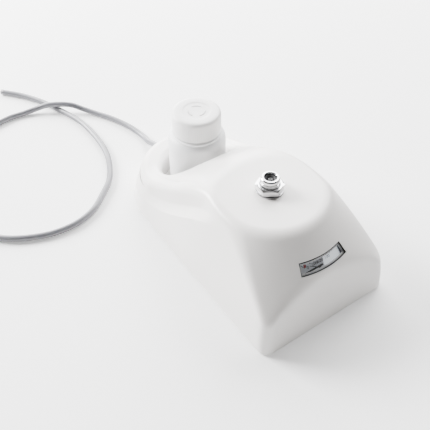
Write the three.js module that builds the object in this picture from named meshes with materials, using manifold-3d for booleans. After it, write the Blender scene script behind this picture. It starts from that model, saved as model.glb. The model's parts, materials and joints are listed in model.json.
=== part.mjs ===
// Dental handpiece maintenance station: a moulded housing with a bottle well, an air coupler
// with a push-open valve, a pressure gauge behind a curved window, a regulator and an air tube.
// Millimetres, +Z up, front faces -Y. Origin: on the table, under the centre of the housing.
import * as THREE from 'three';
import { mergeVertices } from 'three/addons/utils/BufferGeometryUtils.js';
import Module from 'manifold-3d';

const wasm = await Module();
wasm.setup();

// Housing: a box in front, half an ellipse behind, both about anchors on the centre line
const HALF_WIDTH = 62;
const HALF_LENGTH = 119;
const CORNER_RADIUS = 9;
const SHELL_BOTTOM = 1.5;
const WALL = 3;
const PLATEAU_HEIGHT = 78;
const COUPLER_Y = -38.3;
const CONE_TOP_RADIUS = 46;
const CONE_SLOPE = 1.07;
const EDGE_SOFTNESS = 5;
const FRONT_LEAN = 0.08;
const FRONT_BULGE = 0.0015;
const SIDE_BULGE = 0.0028;
const REAR_SIDE_LEAN = 0.22;
const REAR_END_LEAN = 0.05;
const LEAN_BLEND = [-28, 60];
const FRONT_RIM_DROP = 4.5;
const FRONT_RIM_RUN = 6;
const REAR_RIM_SIZE = 9;
const RIM_BLEND = [-38.3, 30];
const HIGHEST_EDGE = 66;

// Deck: it falls from the flat disc round the coupler down to the bottle well
const DISC_RADIUS = 40;
const DECK_START = -28.8;
const DECK_END = 87.2;
const DISC_BULGE = 24;
const DECK_DROP = 46.5;

// Side sections: place along Y, outer reach of the rim, height of the crease below it
const SIDE_SECTIONS = [
  [-38.3, 45.5, 66],
  [-14.3, 44.5, 60],
  [5.7, 46, 48],
  [25.7, 48.5, 36],
  [45.7, 50.5, 27],
  [63.5, 52.5, 22],
];
const REAR_RIM_REACH = 54.2;
const REAR_CREASE = 17;
const CREASE_RUN = 5;

// Bottle well
const WELL_Y = 63.5;
const WELL_RADIUS = 33;
const WELL_LIP = 5;
const WELL_FLOOR = 9.5;
const CUP_RADIUS = 35.5;
const CUP_UNDERSIDE = 7;

// Mesh stations of the housing
const FRONT_ANGLES = [90, 78, 68, 60, 56, 52.5, 49, 44, 34, 23, 11.5, 0];
const SIDE_PLACES = [-24, -8, 8, 22, 36, 50];
const REAR_ANGLES = [0, 15, 30, 45, 60, 75, 90];
const RIM_STEPS = 3;
const DECK_STEPS = 5;

// Fastening of the base
const PLATE_BOTTOM = 2;
const PLATE_TOP = 4.5;
const PLATE_GAP = 0.4;
const SCREW_SPOTS = [
  ['front_left', -47, -100],
  ['front_right', 47, -100],
  ['rear_left', -38, 93],
  ['rear_right', 38, 93],
];
const FOOT_SPOTS = [
  ['front_left', -44, -84],
  ['front_right', 44, -84],
  ['rear_left', -30, 99],
  ['rear_right', 30, 99],
];
const BOSS_RADIUS = 4.2;
const BOSS_TOP = 24;
const SCREW_RADIUS = 1.4;
const SCREW_HOLE = 1.75;
const FOOT_RADIUS = 7;

// Coupler
const PANEL_HOLE = 7.8;
const COUPLER_RADIUS = 7.5;
const COUPLER_BORE = 4.75;
const COUPLER_TOP = 91;
const COUPLER_BOTTOM = 58;
const GROOVE_RADIUS = 6.2;
const STEM_TOP = COUPLER_TOP - 2.4;
const STEM_RADIUS = 2.2;
const SEAT = [STEM_RADIUS + 0.4, COUPLER_BORE - 0.3, 85.2, COUPLER_TOP - 1.4];
const NUT_FLATS = 20;
const NUT_BOTTOM = 79.4;
const NUT_TOP = 84.4;
const NUT_BORE = 7.8;
const NUT_TURN = 25.5 * (Math.PI / 180);
const WASHER = [7.9, 11, 78.3, 79.1];
const SPRING_LOW = 70.3;
const SPRING_HIGH = 81.7;
const SPRING_RADIUS = 3.3;
const SPRING_WIRE = 0.45;
const SPRING_TURNS = 6;

// Gauge, in its own frame: origin on the outer face of the window, +Z outwards
const GAUGE_HEIGHT = 58.5;
const WINDOW_INNER = 63;
const WINDOW_OUTER = 70.7;
const WINDOW_HALF_ANGLE = 17.9;
const CASE_SIZE = [46, 18];
const CASE_CENTRE_Y = 0;
const POINTER_Y = -4.5;
const POINTER_REST = 60;
const PINION_TEETH = 8;
const SECTOR_TEETH = 40;
const TOOTH_MODULE = 0.4;
const MESH_GAP = 0.3;
const SECTOR_ANGLE = 35;
const EAR_X = 27;

// Regulator and air lines
const REGULATOR_X = -24;
const REGULATOR_Y = -58;
const LINE_RADIUS = 2.5;
const LINE_BORE = 1.8;
const BARB_RADIUS = 1.2;
const LINE_Z = 12;

// Supply tube
const TUBE_RADIUS = 2.9;
const TUBE_REST = 3.1;
const GLAND_X = -6;
const GLAND_HOLE = 5.2;
const TUBE_STEPS = 66;
const TUBE_ROUTE = [
  [-6, 118, 12], [-6, 126, 11.8], [-6, 136, 9.2], [-6, 147, 5.2], [-5, 159, TUBE_REST],
  [-8, 179, TUBE_REST], [-13, 195, TUBE_REST], [-20, 211, TUBE_REST], [-27, 223, TUBE_REST],
  [-36, 236, 5], [-45, 245.5, 8.3], [-56, 253, 9.4], [-67, 260, 8.4], [-79, 265.5, 5],
  [-92, 268, TUBE_REST], [-105, 269, TUBE_REST], [-119, 267, TUBE_REST], [-140, 262, TUBE_REST],
  [-165, 250, TUBE_REST], [-188, 230, TUBE_REST], [-202, 204, TUBE_REST], [-207, 175, TUBE_REST],
  [-203, 147, TUBE_REST], [-192, 122, TUBE_REST], [-175, 103, TUBE_REST], [-158, 92.5, TUBE_REST],
  [-138, 85.5, TUBE_REST], [-115, 85, TUBE_REST], [-96, 92, TUBE_REST], [-79, 106, TUBE_REST],
  [-66, 119, TUBE_REST], [-55, 139, TUBE_REST], [-48.5, 160, TUBE_REST], [-46, 188, TUBE_REST],
  [-48, 220, TUBE_REST], [-57, 251, TUBE_REST], [-67, 277, TUBE_REST], [-80, 300, TUBE_REST],
  [-97, 321, TUBE_REST],
];

// Bottle
const BOTTLE_RADIUS = 25.5;
const BOTTLE_FLOOR = 9.9;
const BOTTLE_WALL = 1.2;
const SHOULDER_TOP = 68.5;
const NECK_RADIUS = 18.4;
const NECK_BORE = 16;
const NECK_TOP = 87.2;
const CAP_RADIUS = 21.5;
const CAP_BOTTOM = 72;
const CAP_TOP = 91;

const degrees = Math.PI / 180;
const gearDistance = (TOOTH_MODULE * (PINION_TEETH + SECTOR_TEETH)) / 2 + MESH_GAP;
const SECTOR_SPOT = [
  gearDistance * Math.cos(SECTOR_ANGLE * degrees),
  POINTER_Y + gearDistance * Math.sin(SECTOR_ANGLE * degrees),
];

// ---------------------------------------------------------------- materials

function material(colour, roughness, metalness = 0) {
  return new THREE.MeshStandardMaterial({ color: colour, roughness, metalness });
}

const shellPlastic = material('#e9e7e4', 0.45);
const basePlastic = material('#c9c9c7', 0.6);
const rubber = material('#2b2b2d', 0.85);
const steel = material('#b9bcc0', 0.35, 1);
const chrome = material('#d8dade', 0.12, 1);
const brass = material('#c2a25a', 0.35, 1);
const blackPlastic = material('#232427', 0.5);
const bottlePlastic = material('#f1f2f1', 0.4);
const capPlastic = material('#f4f4f2', 0.45);
const foam = material('#e4e4e0', 0.9);
const clearPlastic = material('#dfe6ea', 0.08);
const dialPaint = material('#e3e4e6', 0.5);
const tubePlastic = material('#9b9ca3', 0.4);

// ---------------------------------------------------------------- solids

function welded(geometry) {
  const bare = geometry.clone();
  bare.deleteAttribute('normal');
  bare.deleteAttribute('uv');
  return mergeVertices(bare, 1e-4);
}

function signedVolume(geometry) {
  const points = geometry.attributes.position;
  const index = geometry.index;
  const [a, b, c] = [new THREE.Vector3(), new THREE.Vector3(), new THREE.Vector3()];
  let volume = 0;
  for (let i = 0; i < index.count; i += 3) {
    a.fromBufferAttribute(points, index.getX(i));
    b.fromBufferAttribute(points, index.getX(i + 1));
    c.fromBufferAttribute(points, index.getX(i + 2));
    volume += a.dot(b.cross(c)) / 6;
  }
  return volume;
}

function facingOut(geometry) {
  const body = welded(geometry);
  if (signedVolume(body) < 0) {
    const order = Array.from(body.index.array);
    for (let i = 0; i < order.length; i += 3) {
      [order[i], order[i + 1]] = [order[i + 1], order[i]];
    }
    body.setIndex(order);
  }
  return body;
}

function solid(geometry) {
  const body = facingOut(geometry);
  const vertProperties = new Float32Array(body.attributes.position.array);
  const triVerts = new Uint32Array(body.index.array);
  return new wasm.Manifold(new wasm.Mesh({ numProp: 3, vertProperties, triVerts }));
}

function geometryOf(manifold) {
  const mesh = manifold.getMesh();
  const geometry = new THREE.BufferGeometry();
  geometry.setAttribute('position', new THREE.BufferAttribute(mesh.vertProperties, 3));
  geometry.setIndex(new THREE.BufferAttribute(mesh.triVerts, 1));
  geometry.computeVertexNormals();
  return geometry;
}

function meshOf(name, geometry, look) {
  const mesh = new THREE.Mesh(facingOut(geometry), look);
  mesh.name = name;
  return mesh;
}

function cut(base, ...tools) {
  return tools.reduce((left, tool) => left.subtract(solid(tool)), solid(base));
}

function joined(base, ...others) {
  return others.reduce((sum, other) => sum.add(solid(other)), solid(base));
}

// A turned solid about +Z from (radius, height) points; the profile closes on itself
function turned(profile, segments = 24) {
  const points = profile.map(([radius, height]) => new THREE.Vector2(radius, height));
  const onAxis = profile[0][0] === 0 && profile[profile.length - 1][0] === 0;
  if (!onAxis) {
    points.push(points[0].clone());
  }
  return new THREE.LatheGeometry(points, segments).rotateX(Math.PI / 2);
}

function rod(radius, low, high, segments = 16) {
  return turned([[0, low], [radius, low], [radius, high], [0, high]], segments);
}

function block(width, depth, height, x, y, z) {
  return new THREE.BoxGeometry(width, depth, height).translate(x, y, z);
}

function polygonPath(radius, sides, path = new THREE.Path()) {
  for (let i = 0; i < sides; i += 1) {
    const angle = (2 * Math.PI * i) / sides;
    const [x, y] = [radius * Math.cos(angle), radius * Math.sin(angle)];
    if (i === 0) {
      path.moveTo(x, y);
    } else {
      path.lineTo(x, y);
    }
  }
  path.closePath();
  return path;
}

function tubeAlong(route, radius, bore, steps, sides = 8) {
  const shape = polygonPath(radius, sides, new THREE.Shape());
  if (bore > 0) {
    shape.holes.push(polygonPath(bore, sides));
  }
  const points = route.map(([x, y, z]) => new THREE.Vector3(x, y, z));
  const extrudePath = new THREE.CatmullRomCurve3(points, false, 'centripetal');
  return new THREE.ExtrudeGeometry(shape, { steps, extrudePath, bevelEnabled: false });
}

// ---------------------------------------------------------------- housing surface

function smoothstep(low, high, value) {
  const t = Math.min(Math.max((value - low) / (high - low), 0), 1);
  return t * t * (3 - 2 * t);
}

function mix(a, b, t) {
  return a + (b - a) * t;
}

function softMinimum(a, b, softness) {
  const near = Math.max(softness - Math.abs(a - b), 0) / softness;
  return Math.min(a, b) - (near * near * softness) / 4;
}

function deckHeight(x, y) {
  const across = Math.min(Math.abs(x) / DISC_RADIUS, 1);
  const start = DECK_START + DISC_BULGE * Math.sqrt(1 - across * across);
  return PLATEAU_HEIGHT - DECK_DROP * smoothstep(start, DECK_END, y);
}

// Smooth curve through the rows of SIDE_SECTIONS
function sideSection(place, item) {
  const rows = SIDE_SECTIONS;
  let i = 0;
  while (i < rows.length - 2 && place > rows[i + 1][0]) {
    i += 1;
  }
  const slope = (k) => {
    const before = rows[Math.max(k - 1, 0)];
    const after = rows[Math.min(k + 1, rows.length - 1)];
    return (after[item] - before[item]) / (after[0] - before[0]);
  };
  const span = rows[i + 1][0] - rows[i][0];
  const t = Math.min(Math.max((place - rows[i][0]) / span, 0), 1);
  const square = t * t;
  const cube = square * t;
  return (2 * cube - 3 * square + 1) * rows[i][item]
    + (cube - 2 * square + t) * span * slope(i)
    + (3 * square - 2 * cube) * rows[i + 1][item]
    + (cube - square) * span * slope(i + 1);
}

// Reach of a box with rounded corners along a direction; across and along are its half sizes
function roundedBoxReach(angle, across, along, radius) {
  const [c, s] = [Math.cos(angle), Math.sin(angle)];
  const flat = Math.min(across / Math.max(c, 1e-9), along / Math.max(s, 1e-9));
  const [cornerX, cornerY] = [across - radius, along - radius];
  if (flat * c <= cornerX || flat * s <= cornerY) {
    return flat;
  }
  const middle = c * cornerX + s * cornerY;
  return middle + Math.sqrt(middle * middle - cornerX ** 2 - cornerY ** 2 + radius ** 2);
}

function frontBoxReach(angle, z, inset) {
  const across = HALF_WIDTH - SIDE_BULGE * z * z - inset;
  const along = HALF_LENGTH + COUPLER_Y - FRONT_LEAN * z - FRONT_BULGE * z * z - inset;
  return roundedBoxReach(angle, across, along, Math.max(CORNER_RADIUS - inset, 4));
}

function coneReach(z, inset) {
  const sideways = inset * Math.hypot(1, 1 / CONE_SLOPE);
  return CONE_TOP_RADIUS + CONE_SLOPE * (PLATEAU_HEIGHT - z) - inset * CONE_SLOPE * 0
    - sideways * CONE_SLOPE;
}

function edgeHeight(angle, inset) {
  let [low, high] = [5, 74];
  for (let i = 0; i < 30; i += 1) {
    const middle = (low + high) / 2;
    if (coneReach(middle, inset) > frontBoxReach(angle, middle, inset)) {
      low = middle;
    } else {
      high = middle;
    }
  }
  return Math.min(low, HIGHEST_EDGE);
}

function bezier(start, control, end, t) {
  const u = 1 - t;
  return start.map((value, k) => u * u * value + 2 * u * t * control[k] + t * t * end[k]);
}

// Each section gives its wall points (reach, height) and the rim's control point and run
function frontSection(angle, bottom, inset) {
  const top = PLATEAU_HEIGHT - inset;
  const reachAt = (z) => softMinimum(
    frontBoxReach(angle, z, inset), coneReach(z, inset), EDGE_SOFTNESS);
  const edge = edgeHeight(angle, inset);
  const last = top - FRONT_RIM_DROP;
  const heights = [
    bottom, 0.35 * edge, 0.7 * edge, edge - 4, edge - 1, edge + 1.5, edge + 4,
    (edge + 4 + last) / 2, last,
  ];
  const wall = heights.map((z) => [reachAt(z), z]);
  return { wall, corner: reachAt(top), run: FRONT_RIM_RUN };
}

function creasedSection(wallReach, rim, crease, rimTop, size, bottom) {
  const low = crease - CREASE_RUN;
  const ledge = [wallReach(low), low];
  const bend = [rim + 1.8, crease];
  const foot = [rim + 0.9, crease + 0.6 * CREASE_RUN];
  const last = rimTop - size;
  const wall = [bottom, 0.35 * low, 0.7 * low].map((z) => [wallReach(z), z]);
  wall.push(ledge);
  for (const t of [0.35, 0.7, 1]) {
    wall.push(bezier(ledge, bend, foot, t));
  }
  wall.push([rim + 0.5, (foot[1] + last) / 2], [rim + 0.2, last]);
  return { wall, corner: rim, run: size };
}

function sideWallSection(place, bottom, inset) {
  const blend = smoothstep(...LEAN_BLEND, place);
  const wallReach = (z) => HALF_WIDTH - inset
    - mix(SIDE_BULGE * z * z, REAR_SIDE_LEAN * z, blend);
  const rim = sideSection(place, 1) - inset;
  const size = mix(FRONT_RIM_RUN, REAR_RIM_SIZE, smoothstep(...RIM_BLEND, place));
  const rimTop = deckHeight(rim, place) - inset;
  return creasedSection(wallReach, rim, sideSection(place, 2), rimTop, size, bottom);
}

function rearSection(angle, bottom, inset) {
  const [c, s] = [Math.cos(angle), Math.sin(angle)];
  const base = 1 / Math.hypot(c / HALF_WIDTH, s / (HALF_LENGTH - WELL_Y));
  const lean = mix(REAR_SIDE_LEAN, REAR_END_LEAN, s * s);
  const wallReach = (z) => base - inset - lean * z;
  const side = SIDE_SECTIONS[SIDE_SECTIONS.length - 1];
  const rim = mix(side[1], REAR_RIM_REACH, s * s) - inset;
  const crease = mix(side[2], REAR_CREASE, s * s);
  const rimTop = deckHeight(rim * c, WELL_Y + rim * s) - inset;
  return creasedSection(wallReach, rim, crease, rimTop, REAR_RIM_SIZE, bottom);
}

function columnPoints(section, anchorY, heading, inset, pit) {
  const [c, s] = [Math.cos(heading), Math.sin(heading)];
  const place = ([reach, z]) => [c * reach, anchorY + s * reach, z];
  const points = section.wall.map(place);
  const start = section.wall[section.wall.length - 1];
  const endReach = section.corner - section.run;
  const end = place([endReach, 0]);
  const endHeight = deckHeight(end[0], end[1]) - inset;
  const cornerSpot = place([section.corner, 0]);
  const corner = [section.corner, deckHeight(cornerSpot[0], cornerSpot[1]) - inset];
  for (let i = 1; i <= RIM_STEPS; i += 1) {
    points.push(place(bezier(start, corner, [endReach, endHeight], i / RIM_STEPS)));
  }
  const away = Math.hypot(end[0], end[1] - WELL_Y);
  const toward = [end[0] / away, (end[1] - WELL_Y) / away];
  const around = (radius, z) => [toward[0] * radius, WELL_Y + toward[1] * radius, z];
  for (let i = 1; i <= DECK_STEPS; i += 1) {
    const radius = mix(away, pit.edge, i / DECK_STEPS);
    const spot = around(radius, 0);
    points.push(around(radius, deckHeight(spot[0], spot[1]) - inset));
  }
  const lip = points[points.length - 1][2];
  for (const turn of pit.lipTurns) {
    const drop = WELL_LIP * (1 - Math.cos(turn * degrees));
    points.push(around(pit.edge - WELL_LIP * Math.sin(turn * degrees), lip - drop));
  }
  points.push(around(pit.radius, pit.floor));
  return points;
}

function halfColumns(bottom, inset, pit) {
  const columns = [];
  for (const angle of FRONT_ANGLES) {
    const section = frontSection(angle * degrees, bottom, inset);
    columns.push(columnPoints(section, COUPLER_Y, -angle * degrees, inset, pit));
  }
  for (const place of SIDE_PLACES) {
    const section = sideWallSection(place, bottom, inset);
    columns.push(columnPoints(section, place, 0, inset, pit));
  }
  for (const angle of REAR_ANGLES) {
    const section = rearSection(angle * degrees, bottom, inset);
    columns.push(columnPoints(section, WELL_Y, angle * degrees, inset, pit));
  }
  return columns;
}

// A closed solid through columns of points that run round the outline, mirrored across X = 0
function crownSolid(bottom, inset, pit) {
  const half = halfColumns(bottom, inset, pit);
  const other = half.slice(1, -1).reverse();
  const mirrored = other.map((column) => column.map(([x, y, z]) => [-x, y, z]));
  const columns = [...half, ...mirrored];
  const rows = columns[0].length;
  const count = columns.length;
  const vertices = columns.flat();
  const index = [];
  for (let i = 0; i < count; i += 1) {
    const [a, b] = [i * rows, ((i + 1) % count) * rows];
    for (let k = 0; k < rows - 1; k += 1) {
      index.push(a + k, b + k, b + k + 1, a + k, b + k + 1, a + k + 1);
    }
    index.push(vertices.length, b, a, vertices.length + 1, a + rows - 1, b + rows - 1);
  }
  const positions = [...vertices, [0, 0, bottom], [0, WELL_Y, pit.floor]].flat();
  const geometry = new THREE.BufferGeometry();
  geometry.setAttribute('position', new THREE.Float32BufferAttribute(positions, 3));
  geometry.setIndex(index);
  return geometry;
}

// The window's shape: part of the front cone's ring, taken straight through the wall
function windowCutter(inner, outer, halfAngle, low, high, segments = 10) {
  const normal = [CONE_SLOPE, 1].map((v) => v / Math.hypot(1, CONE_SLOPE));
  const positions = [];
  for (let i = 0; i <= segments; i += 1) {
    const angle = mix(-halfAngle, halfAngle, i / segments) * degrees;
    for (const [radius, depth] of [[inner, low], [outer, low], [outer, high], [inner, high]]) {
      const away = radius + depth * normal[1] * 0.5 * Math.SQRT2 * 0.966;
      const height = PLATEAU_HEIGHT - (radius - CONE_TOP_RADIUS) / CONE_SLOPE + depth * normal[0];
      positions.push(away * Math.sin(angle), COUPLER_Y - away * Math.cos(angle), height);
    }
  }
  const index = [0, 1, 2, 0, 2, 3];
  for (let i = 0; i < segments; i += 1) {
    for (let k = 0; k < 4; k += 1) {
      const [a, b] = [4 * i + k, 4 * i + ((k + 1) % 4)];
      index.push(a, a + 4, b + 4, a, b + 4, b);
    }
  }
  const end = 4 * segments;
  index.push(end, end + 2, end + 1, end, end + 3, end + 2);
  const geometry = new THREE.BufferGeometry();
  geometry.setAttribute('position', new THREE.Float32BufferAttribute(positions, 3));
  geometry.setIndex(index);
  return geometry;
}

// ---------------------------------------------------------------- housing and base

const part = new THREE.Group();
const gauge = new THREE.Group();
const gaugeReach = CONE_TOP_RADIUS + CONE_SLOPE * (PLATEAU_HEIGHT - GAUGE_HEIGHT);
gauge.position.set(0, COUPLER_Y - gaugeReach, GAUGE_HEIGHT);
gauge.rotation.x = Math.atan2(1, CONE_SLOPE);
gauge.updateMatrix();
part.add(gauge);

function housingBoss([, x, y]) {
  const inward = -Math.sign(x);
  const post = rod(BOSS_RADIUS, PLATE_TOP + 0.5, BOSS_TOP, 12).translate(x, y, 0);
  const rib = block(16, 3, BOSS_TOP - PLATE_TOP - 2, x - inward * 8, y, (BOSS_TOP + PLATE_TOP + 1) / 2);
  return joined(post, geometryOf(solid(rib)));
}

function gaugeBoss(x) {
  const post = rod(2.6, -9.6, 0, 12).translate(x, CASE_CENTRE_Y, 0);
  return post.applyMatrix4(gauge.matrix);
}

function housing() {
  const pit = {
    edge: WELL_RADIUS + WELL_LIP, lipTurns: [40, 90], radius: WELL_RADIUS, floor: WELL_FLOOR,
  };
  const cavityPit = { edge: CUP_RADIUS, lipTurns: [], radius: CUP_RADIUS, floor: CUP_UNDERSIDE };
  const outer = solid(crownSolid(SHELL_BOTTOM, 0, pit));
  let shell = outer.subtract(solid(crownSolid(SHELL_BOTTOM - 1, WALL, cavityPit)));
  const bosses = SCREW_SPOTS.map((spot) => housingBoss(spot));
  bosses.push(...[-EAR_X, EAR_X].map((x) => solid(gaugeBoss(x))));
  for (const boss of bosses) {
    shell = shell.add(boss.intersect(outer));
  }
  const holes = SCREW_SPOTS.map(([, x, y]) => rod(SCREW_HOLE, 0, BOSS_TOP - 2, 10).translate(x, y, 0));
  holes.push(...[-EAR_X, EAR_X].map(
    (x) => rod(1.1, -12, -6.8, 10).translate(x, CASE_CENTRE_Y, 0).applyMatrix4(gauge.matrix)));
  holes.push(rod(PANEL_HOLE, 70, 82, 28).translate(0, COUPLER_Y, 0));
  holes.push(windowCutter(WINDOW_INNER, WINDOW_OUTER, WINDOW_HALF_ANGLE, -6, 6));
  holes.push(rod(GLAND_HOLE, -10, 10, 20).rotateX(Math.PI / 2).translate(GLAND_X, 117, LINE_Z));
  for (const hole of holes) {
    shell = shell.subtract(solid(hole));
  }
  return geometryOf(shell);
}

function basePlate() {
  const inset = WALL + PLATE_GAP;
  const outline = halfColumns(PLATE_TOP, inset, { edge: 20, lipTurns: [], radius: 20, floor: 0 })
    .map((column) => column[0]);
  const other = outline.slice(1, -1).reverse().map(([x, y]) => [-x, y]);
  const shape = new THREE.Shape([...outline, ...other].map(([x, y]) => new THREE.Vector2(x, y)));
  const height = PLATE_TOP - PLATE_BOTTOM;
  const plate = new THREE.ExtrudeGeometry(shape, { depth: height, bevelEnabled: false })
    .translate(0, 0, PLATE_BOTTOM);
  const holes = [
    ...SCREW_SPOTS.map(([, x, y]) => rod(SCREW_HOLE, 0, 8, 10).translate(x, y, 0)),
    ...FOOT_SPOTS.map(([, x, y]) => rod(2.5, 0, 8, 10).translate(x, y, 0)),
    rod(9.5, 0, 8, 20).translate(REGULATOR_X, REGULATOR_Y, 0),
  ];
  return geometryOf(cut(plate, ...holes));
}

function foot() {
  return turned([
    [0, 0], [FOOT_RADIUS - 1, 0], [FOOT_RADIUS, 1], [FOOT_RADIUS - 0.5, 1.7], [2.2, 1.7],
    [2.2, PLATE_TOP + 1.5], [0, PLATE_TOP + 1.5],
  ], 20);
}

function baseScrew() {
  return turned([
    [0, 0.4], [2.2, 0.4], [3.1, 1], [3.1, 1.7], [SCREW_RADIUS, 1.7], [SCREW_RADIUS, 19], [0, 20],
  ], 12);
}

part.add(meshOf('housing', housing(), shellPlastic));
part.add(meshOf('base_plate', basePlate(), basePlastic));
for (const [name, x, y] of FOOT_SPOTS) {
  const mesh = meshOf(`foot_${name}`, foot(), rubber);
  mesh.position.set(x, y, 0);
  part.add(mesh);
}
for (const [name, x, y] of SCREW_SPOTS) {
  const mesh = meshOf(`base_screw_${name}`, baseScrew(), steel);
  mesh.position.set(x, y, 0);
  part.add(mesh);
}

// ---------------------------------------------------------------- bottle

function bottleBody() {
  const inner = BOTTLE_RADIUS - BOTTLE_WALL;
  return turned([
    [0, BOTTLE_FLOOR + 0.6], [BOTTLE_RADIUS - 4, BOTTLE_FLOOR], [BOTTLE_RADIUS - 1.2, BOTTLE_FLOOR + 1],
    [BOTTLE_RADIUS, BOTTLE_FLOOR + 3.5], [BOTTLE_RADIUS, 62], [24.9, 65], [23.4, 67.4],
    [21.2, SHOULDER_TOP], [21.2, 69.2], [22.5, 69.4], [22.5, 70.8], [21.6, 71.1],
    [NECK_RADIUS, 71.2], [NECK_RADIUS, NECK_TOP], [NECK_BORE, NECK_TOP], [NECK_BORE, SHOULDER_TOP],
    [21.4, 66.6], [23.6, 64.4], [inner, 61.6], [inner, BOTTLE_FLOOR + 4],
    [inner - 2, BOTTLE_FLOOR + 1.9], [0, BOTTLE_FLOOR + 1.8],
  ], 36);
}

function bottleCap() {
  const inner = CAP_RADIUS - 2;
  return turned([
    [0, CAP_TOP - 0.4], [12.6, CAP_TOP - 0.4], [13.4, CAP_TOP], [CAP_RADIUS - 2.6, CAP_TOP],
    [CAP_RADIUS - 0.8, CAP_TOP - 0.8], [CAP_RADIUS - 0.2, CAP_TOP - 2.4], [CAP_RADIUS, CAP_BOTTOM],
    [inner, CAP_BOTTOM], [inner, CAP_TOP - 2], [0, CAP_TOP - 2],
  ], 36);
}

function placedAt(mesh, x, y, z = 0) {
  mesh.position.set(x, y, z);
  part.add(mesh);
}

placedAt(meshOf('bottle_body', bottleBody(), bottlePlastic), 0, WELL_Y);
placedAt(meshOf('bottle_cap', bottleCap(), capPlastic), 0, WELL_Y);
placedAt(meshOf('cap_liner', rod(NECK_RADIUS + 0.4, NECK_TOP + 0.3, CAP_TOP - 2.3, 32), foam), 0, WELL_Y);

// ---------------------------------------------------------------- coupler and its valve

function couplerBody() {
  return turned([
    [3, COUPLER_BOTTOM], [4.6, COUPLER_BOTTOM], [4.6, 70], [10, 70.4], [10, 74.6],
    [COUPLER_RADIUS, 74.7], [COUPLER_RADIUS, 85], [GROOVE_RADIUS, 85.6], [GROOVE_RADIUS, COUPLER_TOP - 3.8],
    [COUPLER_RADIUS - 0.2, COUPLER_TOP - 3.4], [COUPLER_RADIUS, COUPLER_TOP - 2.8],
    [COUPLER_RADIUS, COUPLER_TOP - 1], [COUPLER_RADIUS - 0.9, COUPLER_TOP], [COUPLER_BORE + 0.5, COUPLER_TOP],
    [COUPLER_BORE, COUPLER_TOP - 0.6], [COUPLER_BORE, 70], [3, 69],
  ], 28);
}

function couplerNut() {
  const corner = NUT_FLATS / Math.sqrt(3);
  const hexagon = polygonPath(corner, 6, new THREE.Shape());
  const prism = new THREE.ExtrudeGeometry(hexagon, { depth: NUT_TOP - NUT_BOTTOM, bevelEnabled: false })
    .rotateZ(NUT_TURN).translate(0, 0, NUT_BOTTOM);
  const dome = turned([
    [0, NUT_BOTTOM], [corner, NUT_BOTTOM], [corner, NUT_TOP - 1], [corner - 1.8, NUT_TOP], [0, NUT_TOP],
  ], 36);
  const body = solid(prism).intersect(solid(dome)).subtract(solid(rod(NUT_BORE, 70, 90, 28)));
  return geometryOf(body);
}

function ring(inner, outer, low, high, segments = 24) {
  return turned([[inner, low], [outer, low], [outer, high], [inner, high]], segments);
}

function plunger() {
  return turned([
    [0, 64], [1.4, 64], [1.4, SPRING_HIGH + 0.3], [4.2, SPRING_HIGH + 0.3], [4.2, 84.6],
    [STEM_RADIUS, 84.7], [STEM_RADIUS, STEM_TOP - 0.6], [STEM_RADIUS - 0.6, STEM_TOP], [0, STEM_TOP],
  ], 16);
}

class Helix extends THREE.Curve {
  constructor(radius, low, high, turns) {
    super();
    Object.assign(this, { radius, low, high, turns });
  }

  getPoint(t, target = new THREE.Vector3()) {
    const angle = 2 * Math.PI * this.turns * t;
    return target.set(
      this.radius * Math.cos(angle), this.radius * Math.sin(angle), mix(this.low, this.high, t));
  }
}

function valveSpring() {
  const wire = polygonPath(SPRING_WIRE, 5, new THREE.Shape());
  const low = SPRING_LOW + SPRING_WIRE;
  const extrudePath = new Helix(SPRING_RADIUS, low, SPRING_HIGH - SPRING_WIRE, SPRING_TURNS);
  const steps = SPRING_TURNS * 9;
  return new THREE.ExtrudeGeometry(wire, { steps, extrudePath, bevelEnabled: false });
}

function valveBody() {
  const bodyBlock = block(16, 16, 16, 0, 0, 56);
  const socket = rod(5, COUPLER_BOTTOM - 0.4, 70, 20);
  const passage = rod(2, 52, 60, 12);
  const cross = rod(BARB_RADIUS - 0.4, -12, 12, 10).rotateY(Math.PI / 2).translate(0, 0, 53);
  const barb = (side) => rod(BARB_RADIUS, 7, 14, 12).rotateY(side * Math.PI / 2).translate(0, 0, 53);
  const outer = joined(bodyBlock, barb(1), barb(-1));
  return geometryOf([socket, passage, cross].reduce((left, tool) => left.subtract(solid(tool)), outer));
}

placedAt(meshOf('coupler_body', couplerBody(), chrome), 0, COUPLER_Y);
placedAt(meshOf('coupler_nut', couplerNut(), chrome), 0, COUPLER_Y);
placedAt(meshOf('coupler_washer', ring(...WASHER, 28), steel), 0, COUPLER_Y);
placedAt(meshOf('coupler_seat', ring(...SEAT, 20), rubber), 0, COUPLER_Y);
placedAt(meshOf('valve_plunger', plunger(), blackPlastic), 0, COUPLER_Y);
placedAt(meshOf('valve_spring', valveSpring(), steel), 0, COUPLER_Y);
placedAt(meshOf('valve_body', valveBody(), brass), 0, COUPLER_Y);

// ---------------------------------------------------------------- gauge

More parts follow.
